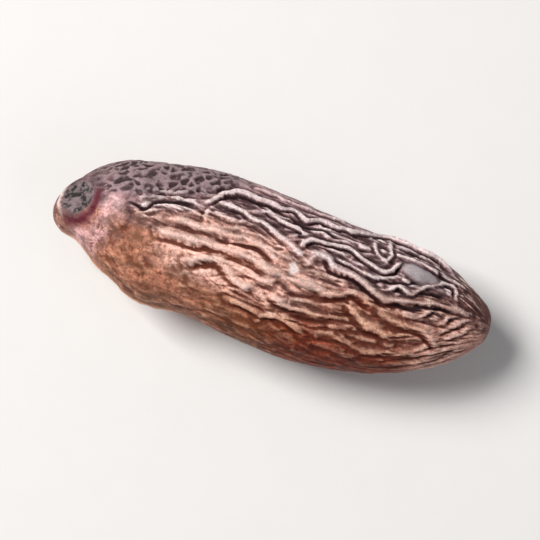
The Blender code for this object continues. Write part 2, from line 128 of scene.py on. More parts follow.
# Leading folds of the upper face: shares of the full height and of the full width, then a
# chain of points in millimetres from the scar's tip and towards +Y, seen from above.
LEADING_FOLDS = (
    (1.0, 1.0, ((11.1, 2.9), (12.6, 4.1), (13.6, 4.5), (16.1, 4.2), (17.6, 4.3), (18.6, 3.8),
                (19.5, 4.0), (21.3, 3.8), (24.2, 4.2), (25.6, 4.3), (27.5, 4.0), (30.1, 3.1))),
    (0.8, 1.0, ((11.9, 3.4), (14.0, 3.1), (14.8, 2.7), (16.0, 2.5), (17.7, 1.7), (19.5, 0.8))),
    (0.95, 1.0, ((18.7, 1.4), (19.1, 2.0), (19.9, 2.4), (21.7, 2.5), (22.6, 2.4), (23.6, 1.9),
                 (24.9, 1.5), (25.7, 1.9), (26.3, 2.7))),
    (0.55, 1.0, ((24.0, 3.7), (24.2, 2.9), (25.0, 2.4), (25.4, 3.1), (25.1, 4.1))),
    (0.9, 1.15, ((9.0, 1.0), (11.7, 1.0), (15.2, 1.1), (17.2, 0.3), (17.9, 0.0))),
    (1.0, 1.35, ((8.4, -0.1), (10.8, 0.0), (14.9, -0.1), (17.8, -0.8), (20.3, -1.0), (21.5, -1.2),
                 (23.5, -0.7), (25.1, -1.1))),
    (0.9, 1.0, ((10.9, -1.7), (13.1, -1.0), (13.8, -1.2), (14.7, -1.9), (15.7, -2.4),
                (16.2, -1.9))),
    (0.65, 1.0, ((13.7, -1.0), (15.6, -1.3), (17.1, -1.5), (18.2, -1.2))),
    (0.6, 1.0, ((14.7, -3.5), (16.5, -3.7), (17.4, -4.0))),
    (0.7, 1.0, ((17.2, -4.3), (17.7, -3.7), (18.6, -3.6), (19.6, -3.9), (20.7, -4.5))),
    (0.75, 1.0, ((17.5, -2.3), (19.0, -2.8), (20.8, -2.8), (23.1, -2.7))),
    (1.0, 1.25, ((19.5, 0.7), (20.2, 1.3), (21.0, 1.3), (21.6, 0.8), (23.4, 0.5), (25.1, -0.3),
                 (26.1, -0.4), (28.3, 0.2), (30.9, 0.3), (32.1, 0.3))),
    (0.7, 1.0, ((25.6, 0.1), (26.4, 0.7), (27.3, 0.6), (28.3, 1.2), (29.7, 2.0), (30.5, 1.8),
                (30.7, 1.1))),
    (1.0, 1.5, ((23.2, -1.5), (24.8, -2.4), (26.8, -2.9))),
    (0.85, 1.3, ((25.2, -1.1), (26.1, -1.6), (28.1, -1.7), (29.1, -1.8), (30.4, -2.5))),
    (0.75, 1.0, ((26.7, -1.0), (27.8, -1.1), (28.6, -1.0), (29.4, 0.0))),
    (0.6, 1.0, ((30.0, -1.1), (30.6, -0.4), (31.5, 0.1))),
    (0.6, 1.0, ((29.8, -1.6), (30.7, -1.1), (32.2, 0.1))),
    (0.5, 1.0, ((30.8, -2.0), (31.6, -1.1), (32.5, -0.4))),
    (0.5, 1.0, ((14.6, 5.2), (17.4, 4.9), (20.1, 4.7), (21.7, 4.5))),
    (0.5, 1.0, ((18.8, 3.2), (20.9, 3.0), (22.5, 2.9))),
    (0.6, 1.0, ((21.4, 1.5), (22.6, 1.3), (23.6, 1.0), (24.8, 1.0), (26.1, 1.5))),
    (0.5, 1.0, ((11.6, 2.9), (11.6, 2.0), (11.8, 1.2))),
)
FOLD_TAPER = 1.0 * MM

# Leading grooves: shares of the full depth and of the full width, then a chain as above.
LEADING_GROOVES = (
    (1.0, 1.2, ((5.6, 1.5), (6.5, 1.4), (7.1, 1.2), (7.7, 1.8), (9.5, 2.3), (10.8, 2.5))),
    (0.9, 1.0, ((8.4, 0.5), (9.7, 0.5), (11.0, 0.7))),
    (0.8, 1.0, ((11.5, -2.0), (12.4, -1.8), (13.4, -1.5))),
    (0.9, 1.0, ((12.4, 0.5), (14.2, 0.5), (16.0, 0.5), (17.5, -0.3))),
    (0.9, 1.0, ((12.0, -0.8), (14.4, -0.8), (17.2, -1.2))),
    (0.8, 1.0, ((14.9, -1.6), (15.4, -1.8), (16.0, -2.1))),
    (0.9, 1.2, ((14.4, -2.8), (15.5, -3.0), (16.7, -3.0))),
    (0.8, 1.0, ((10.9, 3.7), (12.2, 4.3), (13.6, 4.8), (14.7, 4.8))),
    (1.0, 1.5, ((17.2, 3.8), (18.6, 3.3), (20.2, 3.2), (21.6, 3.1))),
    (1.0, 2.0, ((25.8, 3.7), (26.8, 3.7), (28.0, 3.4))),
    (1.0, 2.0, ((28.9, 3.0), (29.4, 2.4), (30.3, 2.3))),
    (0.9, 1.0, ((25.2, 0.7), (26.8, 1.1), (28.8, 1.7))),
    (0.9, 1.6, ((27.8, 0.7), (29.0, 0.9), (30.2, 1.1))),
    (0.9, 1.2, ((21.6, -2.0), (22.6, -1.3), (23.7, -1.6), (24.8, -2.0), (25.9, -2.2))),
    (0.9, 1.2, ((25.6, -0.9), (27.0, -0.6), (29.2, -0.4))),
    (0.8, 1.2, ((19.3, -3.4), (21.0, -3.4), (23.0, -3.1))),
)
LEADING_GROOVE_DEPTH = 0.24 * MM
LEADING_GROOVE_WIDTH = 0.19 * MM

# Smooth raised islands of the upper face: place as above, then length, width and height.
ISLANDS = (
    (27.7, 2.2, 1.35, 0.66, 0.30),
    (4.7, 0.7, 1.2, 1.5, 0.18),
)
# A small painted glint on the upper face: place as above, then its half sizes.
GLINT_PLACE = (18.8, -0.1)
GLINT_SIZE = (0.42 * MM, 0.5 * MM)

# The middle of the upper face, where the folds are wide plates: place and half sizes.
MIDDLE_PLACE = (14.6, -0.5)
MIDDLE_SIZE = (8.0 * MM, 2.6 * MM)
MIDDLE_WIDENING = 0.55

# The scar: a shallow dish with a raised rim, and a keel that runs from it along the edge.
SCAR_PLACE = (1.75, 1.1)
SCAR_RADIUS = 1.45 * MM
SCAR_RIM = 0.15 * MM
KEEL_TURN = 177.0
KEEL_HEIGHT = 0.16 * MM
KEEL_WIDTH = 0.30 * MM

# The grid of the skin, and the lattice of random numbers behind every noise and net.
ROWS = 330
COLUMNS = 298
TOP_CROWDING = 0.25
TIP_RUN_OUT = 1.2 * MM
LATTICE_ROWS = 64
LATTICE_START = 8
SEED = 41

MEAN_REACH = (REACH_BACK + REACH_FRONT + REACH_UP + REACH_DOWN) / 4
GIRTH = 2 * np.pi * MEAN_REACH

# How the bean lies in the view: its axis falls to the right by this much.
AXIS_FALL = math.radians(15.75)

# The stage. Lights: size, then place to the right, up and back from the bean, then colour.
FLOOR_HALF = 0.4
KEY_LIGHT = (0.2, (-0.26, 0.19, 0.34), (1, 0.98, 0.95))
FILL_LIGHT = (0.3, (0.3, -0.2, 0.25), (0.93, 0.96, 1))
SKY_COLOUR = (0.95, 0.97, 1.0, 1.0)
CLIP_START = 0.005


class BeanSettings(bpy.types.PropertyGroup):
    """Relief of the skin."""

    fold_height: bpy.props.FloatProperty(
        name="Fold height", description="Height of the folds over the skin",
        default=0.36 * MM, unit="LENGTH")
    small_height: bpy.props.FloatProperty(
        name="Small net height", description="Height of the small net between the folds",
        default=0.15 * MM, unit="LENGTH")
    fine_height: bpy.props.FloatProperty(
        name="Fine net height", description="Height of the finest net",
        default=0.08 * MM, unit="LENGTH")
    pit_relief: bpy.props.FloatProperty(
        name="Pit relief", description="Depth of the pits of the shoulder by the scar",
        default=0.14 * MM, unit="LENGTH")
    scar_depth: bpy.props.FloatProperty(
        name="Scar depth", description="Depth of the scar's dish",
        default=0.20 * MM, unit="LENGTH")


def pigment(name, description, default):
    """A colour that the user can change."""
    return bpy.props.FloatVectorProperty(
        name=name, description=description, default=default,
        size=3, subtype="COLOR", min=0, max=1)


class CoatSettings(bpy.types.PropertyGroup):
    """Colours and gloss of the seed coat."""

    ground: pigment("Ground", "Mid brown of the coat", (0.36, 0.17, 0.135))
    ground_dark: pigment("Dark ground", "Darker patches of the coat", (0.20, 0.082, 0.065))
    flank: pigment("Flank", "Tan orange of the smooth lower flank", (0.50, 0.195, 0.115))
    stain: pigment("Stains", "Dull brown stains of the smooth flank", (0.17, 0.070, 0.035))
    olive: pigment("Olive", "Olive brown of the middle of the flank", (0.160, 0.038, 0.006))
    russet: pigment("Russet", "Warm brown between the folds by the plain tip", (0.20, 0.050, 0.026))
    rust: pigment("Rust", "Red brown of the lower side", (0.19, 0.022, 0.005))
    tip: pigment("Tip", "Red brown of the plain tip", (0.12, 0.038, 0.036))
    # Painted sky reflection: the grey mauve cast of the back's upper side.
    sky_reflection: pigment("Bloom", "Grey mauve of the back's upper side", (0.30, 0.190, 0.205))
    shoulder: pigment("Shoulder", "Dim mauve of the pitted shoulder", (0.120, 0.076, 0.088))
    shoulder_web: pigment("Shoulder web", "Paler web between the pits", (0.38, 0.265, 0.28))
    # The pits' colour is painted shade, darkest where a pit is deepest.
    pit_shade: pigment("Pits", "Dark of the pits of the shoulder", (0.045, 0.024, 0.028))
    blush: pigment("Blush", "Pink beside the scar", (0.90, 0.52, 0.53))
    middle: pigment("Middle", "Peach of the middle of the upper face", (0.90, 0.50, 0.41))
    # The dip and slit colours are painted shade and shadow in the hollows between the folds; the
    # low dips' colour also colours the flank's freckles.
    dip_shade: pigment("Dips", "Dim mauve between the upper folds", (0.066, 0.030, 0.034))
    low_dip_shade_and_freckles: pigment("Low dips", "Red brown between the lower folds", (0.150, 0.032, 0.013))
    slit_shadow: pigment("Hollows", "Dark of the slits of the upper side", (0.014, 0.004, 0.005))
    low_slit_shadow: pigment("Low hollows", "Dark of the slits of the lower side", (0.090, 0.016, 0.007))
    # The crest colours are pale wear together with painted highlights on the fold crests.
    crest_grey: pigment("Grey crests", "Worn crests of the upper folds", (0.97, 0.81, 0.80))
    crest_pink: pigment("Pink crests", "Worn crests of the middle folds", (0.96, 0.68, 0.60))
    crest_tan: pigment("Tan crests", "Worn crests of the lower folds", (0.92, 0.49, 0.32))
    scar: pigment("Scar", "Grey green of the scar", (0.022, 0.021, 0.020))
    scar_pale: pigment("Pale scar", "Paler grey spots of the scar", (0.24, 0.175, 0.185))
    crescent: pigment("Crescent", "Maroon beside the scar", (0.13, 0.018, 0.032))
    # The pale colour is the scar's rim and also the small painted glint.
    pale: pigment("Pale", "Rim of the scar and the pale spot", (0.86, 0.72, 0.70))
    island: pigment("Island", "Smooth grey island near the plain tip", (0.42, 0.37, 0.39))
    roughness: bpy.props.FloatProperty(
        name="Roughness", description="Mean roughness of the coat", default=0.46, min=0, max=1)


class StageSettings(bpy.types.PropertyGroup):
    """Floor, lights and camera."""

    floor: pigment("Floor", "Plain pale floor", (0.84, 0.83, 0.82))
    key: bpy.props.FloatProperty(
        name="Key light", description="Power of the soft key light", default=2.5, unit="POWER")
    fill: bpy.props.FloatProperty(
        name="Fill light", description="Power of the soft fill light", default=0.25, unit="POWER")
    sky: bpy.props.FloatProperty(
        name="Sky", description="Strength of the even light all round", default=0.20)
    lens: bpy.props.FloatProperty(
        name="Lens", description="Focal length of the camera in millimetres",
        default=100.0, unit="CAMERA")
    width: bpy.props.FloatProperty(
        name="Width", description="Width of the view where the bean lies",
        default=40.5 * MM, unit="LENGTH")
    elevation: bpy.props.FloatProperty(
        name="Elevation", description="Angle of the view over the floor",
        default=math.radians(84), subtype="ANGLE", unit="ROTATION")


def smooth_step(low, high, value):
    """0 below low, 1 above high, and an even S between them."""
    share = np.clip((value - low) / (high - low), 0, 1)
    return share * share * (3 - 2 * share)


def curve_through(stations, values, at):
    """A cubic between each two stations, with the mean slope of the neighbours at each."""
    slopes = np.gradient(values, stations)
    left = np.clip(np.searchsorted(stations, at, side="right") - 1, 0, len(stations) - 2)
    width = stations[left + 1] - stations[left]
    share = (at - stations[left]) / width
    rise = share * share * (3 - 2 * share)
    enter = share * (1 - share) ** 2 * width * slopes[left]
    leave = share * share * (share - 1) * width * slopes[left + 1]
    return values[left] + (values[left + 1] - values[left]) * rise + enter + leave


def dome(share):
    """Rounded ends: the square root of 1 - |2t - 1|^p, which is 0 at both tips."""
    return np.sqrt(1 - np.abs(2 * share - 1) ** END_POWER)


def reaches(share):
    """How far the skin lies from the middle line at this share: back, front, up, down."""
    full = (REACH_BACK, REACH_FRONT, REACH_UP, REACH_DOWN)
    factors = (curve_through(STATIONS[:, 0], STATIONS[:, side], share) for side in (1, 2, 3, 4))
    return [size * factor * dome(share) for size, factor in zip(full, factors)]


def section_radius(share, turn):
    """A superellipse with its own half axis on each of the four sides."""
    back, front, up, down = reaches(share)
    side = np.where(np.cos(turn) > 0, back, front)
    rise = np.where(np.sin(turn) > 0, up, down)
    across = np.abs(np.cos(turn) / side) ** SECTION_POWER
    upright = np.abs(np.sin(turn) / rise) ** SECTION_POWER
    return (across + upright) ** (-1 / SECTION_POWER)


def skin_distance(share):
    """Distance over the skin from the scar's tip, along the mean outline."""
    fine = (1 - np.cos(np.linspace(0, np.pi, 400))) / 2
    steps = np.hypot(np.diff(fine) * LENGTH, np.diff(dome(fine)) * MEAN_REACH)
    return np.interp(share, fine, np.concatenate(([0], np.cumsum(steps))))


def point_above(place):
    """Share of the length and turn of a point of the upper face, from its place in mm."""
    share = place[0] * MM / LENGTH
    across = place[1] * MM
    back, front, up, _ = reaches(np.array([share]))
    side = np.where(across > 0, back, front)
    height = up * (1 - np.abs(across / side) ** SECTION_POWER) ** (1 / SECTION_POWER)
    return share, float(np.arctan2(height, across)[0])


def noise(along, around, cell_long, cell_round, seed):
    """Smooth random heights from -1 to 1 on a lattice that closes round the bean."""
    columns = max(3, round(GIRTH / cell_round))
    values = np.random.default_rng(seed).uniform(-1, 1, (LATTICE_ROWS, columns))
    u = along / cell_long + LATTICE_START
    v = around / GIRTH * columns
    i, j = np.floor(u).astype(int), np.floor(v).astype(int)
    a, b = smooth_step(0, 1, u - i), smooth_step(0, 1, v - j)
    left, right = j % columns, (j + 1) % columns
    row, next_row = i % LATTICE_ROWS, (i + 1) % LATTICE_ROWS
    near = values[row, left] * (1 - b) + values[row, right] * b
    far = values[next_row, left] * (1 - b) + values[next_row, right] * b
    return near * (1 - a) + far * a


def fold_profile(distance, low_side):
    """Height and slit across a fold that leans to its low side, which is 1 there and -1 above.

    The height is a wide swell under a narrower ridge, 1 at the crest, gentle above and steep
    below. The slit is a narrow bell at the foot of the steep side. Distances are in widths.
    """
    leaning = distance / (1 - FOLD_LEAN * low_side)
    height = 0.6 * np.exp(-(leaning ** 2)) + 0.4 * np.exp(-((leaning / 0.42) ** 1.5))
    slit = np.exp(-(((distance - SLIT_PLACE) / SLIT_WIDTH) ** 2)) * np.clip(low_side, 0, 1)
    return height, slit


def net(along, around, squeeze, cell_long, cell_round, width, seed):
    """Crests and slits on the borders of jittered cells, the border's distance and a mood.

    For a point whose nearest cell middle is p and another is q, the border's distance is
    (|q|^2 - |p|^2) / (2 |q - p|), turned into metres by the stretch of the cell lattice.
    The crest is strength * the fold profile of distance / width, strongest lengthwise, and
    a border that lies towards +Y of the point has the point on its low side. The mood is a
    random number of the point's own cell.
    """
    columns = round(GIRTH / cell_round)
    rng = np.random.default_rng(seed)
    jitter = rng.uniform(-0.42, 0.42, (LATTICE_ROWS, columns, 2))
    mood = rng.uniform(0, 1, (LATTICE_ROWS, columns))
    u = along / cell_long + LATTICE_START
    v = around / GIRTH * columns
    i, j = np.floor(u).astype(int), np.floor(v).astype(int)
    places, moods = [], []
    for di in (-2, -1, 0, 1, 2):
        for dj in (-2, -1, 0, 1, 2):
            row, column = (i + di) % LATTICE_ROWS, (j + dj) % columns
            shift = jitter[row, column]
            brick = 0.5 * ((i + di) % 2)
            places.append((i + di + 0.5 + shift[..., 0] - u, j + dj + brick + shift[..., 1] - v))
            moods.append(mood[row, column])
    places, moods = np.array(places), np.array(moods)
    square = (places ** 2).sum(1)
    own = square.argmin(0)[None]
    own_square = np.take_along_axis(square, own, 0)
    own_place = np.take_along_axis(places, own[:, None], 0)
    own_mood = np.take_along_axis(moods, own, 0)
    apart = places - own_place
    gap = np.sqrt((apart ** 2).sum(1))
    gap[gap < 1e-9] = np.inf
    lengthwise = np.abs(apart[:, 1]) / gap
    stretch = np.hypot(apart[:, 0] / gap / cell_long, lengthwise / (cell_round * squeeze))
    distance = (square - own_square) / (2 * gap) / np.maximum(stretch, 1e-9)
    distance = np.where(np.isinf(gap), np.inf, distance)
    strength = (0.28 + 0.72 * lengthwise) * (0.62 + 0.38 * np.cos(2 * np.pi * (moods + own_mood)))
    height, slit = fold_profile(distance / width, -apart[:, 1] / gap)
    return (strength * height).max(0), (strength * slit).max(0), distance.min(0), own_mood[0]


def leading_lines(lines, along, around, squeeze, width):
    """Strength, slit and distance of listed lines, each a smooth chain over the skin.

    Each line has its share of the height, its share of the width and its chain. A point at
    the distance d has the height's share of the fold profile of d / width, and both ends
    of a line run out over the length of a taper. The low side of a line is the one towards -Y.
    """
    crest = np.zeros_like(along)
    slit = np.zeros_like(along)
    nearest = np.full_like(along, np.inf)
    for share, widening, chain in lines:
        placed = np.array([point_above(place) for place in chain])
        steps = np.arange(len(chain), dtype=float)
        fine = np.linspace(0, steps[-1], 4 * (len(chain) - 1) + 1)
        s = curve_through(steps, skin_distance(placed[:, 0]), fine)
        q = curve_through(steps, placed[:, 1] / (2 * np.pi) * GIRTH, fine)
        run = np.concatenate(([0], np.cumsum(np.hypot(np.diff(s), np.diff(q)))))
        for k in range(len(fine) - 1):
            ds, dq = s[k + 1] - s[k], (q[k + 1] - q[k]) * squeeze
            ps, pq = along - s[k], (around - q[k]) * squeeze
            part = np.clip((ps * ds + pq * dq) / (ds * ds + dq * dq), 0, 1)
            off_s, off_q = ps - part * ds, pq - part * dq
            distance = np.hypot(off_s, off_q)
            low_side = (ds * off_q - dq * off_s) / (np.hypot(ds, dq) * np.maximum(distance, 1e-9))
            place = run[k] + part * (run[k + 1] - run[k])
            taper = smooth_step(-0.3 * FOLD_TAPER, FOLD_TAPER, np.minimum(place, run[-1] - place))
            tall, sunk = fold_profile(distance / (width * widening), low_side)
            crest = np.maximum(crest, share * taper * tall)
            slit = np.maximum(slit, share * taper * sunk)
            nearest = np.minimum(nearest, distance)
    return crest, slit, nearest


def band(share, degrees, table, soft=6.0):
    """1 between two angles that change along the bean, with soft edges."""
    start = np.interp(share, table[:, 0], table[:, 1])
    end = np.interp(share, table[:, 0], table[:, 2])
    enter = smooth_step(start - soft, start + soft, degrees)
    return enter * (1 - smooth_step(end - soft, end + soft, degrees))


def distance_from(points, place, size):
    """Distance from a place of the upper face, in units of the size (long, wide)."""
    share, turn = point_above(place)
    radius = section_radius(np.array([share]), np.array([turn]))[0]
    middle = np.array(((share - 0.5) * LENGTH, radius * np.cos(turn), radius * np.sin(turn)))
    away = points - middle
    across = np.hypot(away[..., 1], away[..., 2])
    return np.hypot(away[..., 0] / size[0], across / size[1])


class Place:
    """Where each point of the skin lies, and the measures that every form of relief reads."""

    def __init__(self, share, turn, points):
        self.share, self.points = share, points
        self.degrees = np.degrees(turn)
        self.along = skin_distance(share)
        self.around = turn / (2 * np.pi) * GIRTH
        self.squeeze = np.maximum(section_radius(share, turn) / MEAN_REACH, 0.05)
        self.sway = SWAY * self.noise(5.5, 4.0, 1)
        self.curl = CURL * self.noise(2.1, 1.6, 7)
        over_edge = smooth_step(80, 112, self.degrees)
        self.low_side = over_edge * (1 - smooth_step(230, 260, self.degrees))
        scar = distance_from(points, SCAR_PLACE, (SCAR_RADIUS, SCAR_RADIUS))
        self.scar = scar + 0.07 * self.noise(0.9, 0.8, 24)
        self.middle = 1 - smooth_step(0.6, 1.3, distance_from(points, MIDDLE_PLACE, MIDDLE_SIZE))
        self.folded = self.folded_share()

    def noise(self, long, round_, step):
        """Smooth noise from -1 to 1 with features of these lengths in millimetres.

        The step picks a random draw of its own for each use.
        """
        return noise(self.along, self.around, long * MM, round_ * MM, SEED + step)

    def blots(self, long, round_, step):
        """Noise as above on a lattice that other noise bends, so that no straight edge shows."""
        bend_long = 0.45 * long * MM * self.noise(1.4 * long, 1.4 * round_, step + 100)
        bend_round = 0.45 * round_ * MM * self.noise(1.4 * long, 1.4 * round_, step + 200)
        along, around = self.along + bend_long, self.around + bend_round
        return noise(along, around, long * MM, round_ * MM, SEED + step)

    def folded_share(self):
        """How much of the net of folds shows here: whole on top and base, less on the flanks."""
        share = self.share
        ragged = self.degrees + 9 * self.noise(3.5, 2.5, 6)
        top = band(share, ragged, TOP_FOLDS) * smooth_step(0.13, 0.26, share)
        base = band(share, ragged, BASE_FOLDS) * smooth_step(0.08, 0.20, share)
        flank = FLANK_FOLDS * smooth_step(0.22, 0.40, share)
        tips = 1 - smooth_step(0.90, 0.975, share)
        return np.maximum(np.clip(top + base, 0, 1), flank) * (0.15 + 0.85 * tips)


def net_folds(at, width):
    """Crests, slits and border distance of the net of folds between the leading ones."""
    drift = NET_DRIFT * smooth_step(8 * MM, 26 * MM, at.along) * np.where(at.degrees < 180, 1, -1)
    drift = drift * smooth_step(0, 25, 90 - np.abs(at.degrees % 180 - 90))
    kink = 0.07 * MM * at.noise(0.55, 0.5, 26)
    along = at.along + 2 * at.curl + kink
    around = at.around - drift + at.sway + at.curl + kink
    crest, slit, border, _ = net(along, around, at.squeeze, CELL_LONG, CELL_ROUND, width, SEED)
    calm = (0.75 + 0.25 * at.noise(7, 5, 2)) * (1 - 0.35 * at.low_side) * (1 - 0.4 * at.middle)
    crest = crest * (0.8 + 0.35 * at.noise(1.3, 1.1, 27))
    return crest * at.folded * calm, slit * at.folded * calm, border


def fold_relief(settings, at):
    """The leading folds, the net of folds between them, and the grooves and slits."""
    width = (FOLD_WIDTH + FOLD_WIDENING * at.low_side) * (1 + 0.25 * at.noise(1.9, 1.5, 12))
    width = width * (1 + MIDDLE_WIDENING * at.middle)
    crest, slit, border = net_folds(at, width)
    wobble = 0.15 * MM * at.noise(1.1, 0.9, 13) + 0.06 * MM * at.noise(0.5, 0.45, 25)
    along, around = at.along + wobble, at.around + wobble
    lead, lead_slit, lead_distance = leading_lines(LEADING_FOLDS, along, around, at.squeeze, width)
    lead = lead * (0.82 + 0.34 * at.noise(1.2, 1.0, 14))
    cut, _, _ = leading_lines(LEADING_GROOVES, along, around, at.squeeze, LEADING_GROOVE_WIDTH)

    clear = smooth_step(0.2 * MM, 0.55 * MM, lead_distance)
    nearest = np.minimum(border + (1 - at.folded) * 2 * MM, lead_distance)
    groove = np.exp(-(((nearest - GROOVE_PLACE) / (0.4 * GROOVE_PLACE)) ** 2))
    groove = groove * np.maximum(at.folded, np.exp(-((lead_distance / MM) ** 2)))
    raised = np.maximum(crest * clear, lead)
    broken = 0.25 + 0.75 * smooth_step(-0.5, 0.3, at.noise(2.4, 1.4, 31))
    off_crest = 1 - 0.8 * np.clip(lead, 0, 1)
    slit = np.maximum(lead_slit, slit * clear) * broken * off_crest
    cut = cut * off_crest
    height = settings.fold_height * raised - GROOVE_DEPTH * groove
    height = height - np.maximum(LEADING_GROOVE_DEPTH * cut, SLIT_DEPTH * slit)
    return height, raised, np.maximum(cut, 0.8 * slit), lead, clear


def fine_relief(settings, at, raised, pitted):
    """Finer nets between the folds: ridges on the upper side, and slits on the lower one.

    Where the skin is nearly smooth it has dimples instead.
    """
    along, around = at.along + 2 * at.curl, at.around + at.curl + 0.5 * at.sway
    ridge, _, _, _ = net(along, around, at.squeeze, 1.9 * MM, 0.82 * MM, 0.15 * MM, SEED + 15)
    slit, _, _, _ = net(along, around, at.squeeze, 2.6 * MM, 0.78 * MM, 0.12 * MM, SEED + 20)
    fine, _, _, _ = net(
        at.along + at.curl, at.around + at.curl, at.squeeze,
        0.75 * MM, 0.48 * MM, 0.1 * MM, SEED + 8)
    share = (0.12 + 0.88 * at.folded) * (1 - pitted)
    between = 1 - 0.8 * np.clip(raised, 0, 1)
    small = (1 - at.low_side) * (ridge - 0.3) * between - at.low_side * (slit - 0.3) * 1.25
    dimples = smooth_step(-0.2, 1.3, at.blots(1.3, 1.0, 16) + 0.5 * at.blots(0.6, 0.5, 21))
    net_height = settings.small_height * small + settings.fine_height * (fine - 0.3) * between
    return net_height * share - 0.13 * MM * dimples * (1 - at.folded) * (1 - pitted)


def pit_relief(settings, at, clear):
    """Irregular pits between pale webs, on the shoulder beside the scar."""
    pitted = band(at.share, at.degrees, PIT_BAND) * smooth_step(0.07, 0.13, at.share)
    pitted = pitted * (1 - smooth_step(0.36, 0.44, at.share)) * clear
    warp = 0.24 * MM * at.noise(0.8, 0.7, 17) + 0.12 * MM * at.noise(0.4, 0.35, 28)
    _, _, border, mood = net(
        at.along + at.curl + warp, at.around + at.curl - warp, at.squeeze,
        PIT_CELL, 0.8 * PIT_CELL, 0.2 * MM, SEED + 3)
    deep = smooth_step(0.03 * MM, 0.24 * MM, border) * (0.4 + 0.6 * smooth_step(0.1, 0.7, mood))
    deep = deep * (0.4 + 0.6 * smooth_step(-0.6, 0.4, at.noise(0.75, 0.6, 35)))
    ragged = at.blots(0.55, 0.45, 36) + 0.7 * at.blots(0.3, 0.26, 37)
    deep = smooth_step(0.0, 0.95, 0.85 * deep + 0.35 * ragged + 0.1)
    return -settings.pit_relief * (deep - 0.3) * pitted, pitted, deep


def add_islands(at, height):
    """Smooth raised patches of uneven outline, which calm the skin round them."""
    island = np.zeros_like(height)
    for length, across, long, wide, tall in ISLANDS:
        off = distance_from(at.points, (length, across), (long * MM, wide * MM))
        off = off + 0.22 * at.noise(1.3, 1.1, 22)
        height = np.where(off < 1.3, height * smooth_step(0.8, 1.3, off), height)
        height = height + tall * MM * (1 - smooth_step(0.3, 1.2, off))
        island = np.maximum(island, 1 - smooth_step(0.7, 1.2, off))
    return height, island


def add_scar(settings, at, height):
    """The scar's dish, its rim, highest at the tip, and the keel along the front edge."""
    height = height * smooth_step(0.9, 1.4, at.scar)
    dish = 1 - smooth_step(0.6, 1.0, at.scar)
    grain = 0.07 * MM * at.noise(0.8, 0.7, 23) + 0.05 * MM * at.noise(0.4, 0.35, 29)
    height = height - (settings.scar_depth + grain) * dish
    rim = np.exp(-(((at.scar - 1.12) / 0.16) ** 2))
    rim = rim * (0.35 + 0.65 * smooth_step(0.07, 0.03, at.share))
    keel_distance = np.abs(at.degrees - KEEL_TURN) / 360 * GIRTH * at.squeeze
    keel = np.exp(-((keel_distance / KEEL_WIDTH) ** 2)) * (1 - smooth_step(0.26, 0.42, at.share))
    keel = keel * smooth_step(0.01, 0.05, at.share)
    return height + SCAR_RIM * rim + KEEL_HEIGHT * keel, keel


def relief(settings, at):
    """Height over the plain body along its normal, and the forms that the coat follows."""
    height, raised, cut, lead, clear = fold_relief(settings, at)
    pits, pitted, deep = pit_relief(settings, at, clear)
    height = height + pits + fine_relief(settings, at, raised, pitted)
    height = height + WAVE_HEIGHT * at.noise(9, 5, 4) + 0.4 * WAVE_HEIGHT * at.noise(2.6, 2.2, 5)
    height, island = add_islands(at, height)
    height, keel = add_scar(settings, at, height)
    height = height + 0.018 * MM * at.noise(0.33, 0.3, 18)
    rest = np.hypot(
        (at.share - REST_SHARE) * LENGTH / REST_LONG, (at.degrees - REST_TURN) / REST_DEGREES)
    plain = smooth_step(0.9, 1.4, at.scar) * (1 - island)
    forms = {
        "island": island,
        "keel": keel,
        "pit_shade": deep * pitted,
        "web": (1 - smooth_step(0.0, 0.25, deep)) * pitted,
        "shoulder": pitted,
        "lead": np.clip(lead, 0, 1) * plain,
        "cut": cut * plain,
    }
    return evened_at_tips(at, height * smooth_step(0.6, 1.15, rest)), forms


def evened_at_tips(at, values):
    """Values that run out to the mean of their ring at each tip, so that no star shows there."""
    mean = values.mean(1, keepdims=True)
    from_tip = np.minimum(at.along, at.along.max() - at.along)
    return mean + (values - mean) * smooth_step(0, TIP_RUN_OUT, from_tip)


def blurred(values, times):
    """Values evened out over the neighbours, round the bean and along it, so many times."""
    for _ in range(times):
        values = (np.roll(values, 1, 1) + 2 * values + np.roll(values, -1, 1)) / 4
        ends = np.concatenate((values[:1], values, values[-1:]))
        values = (ends[:-2] + 2 * values + ends[2:]) / 4
    return values


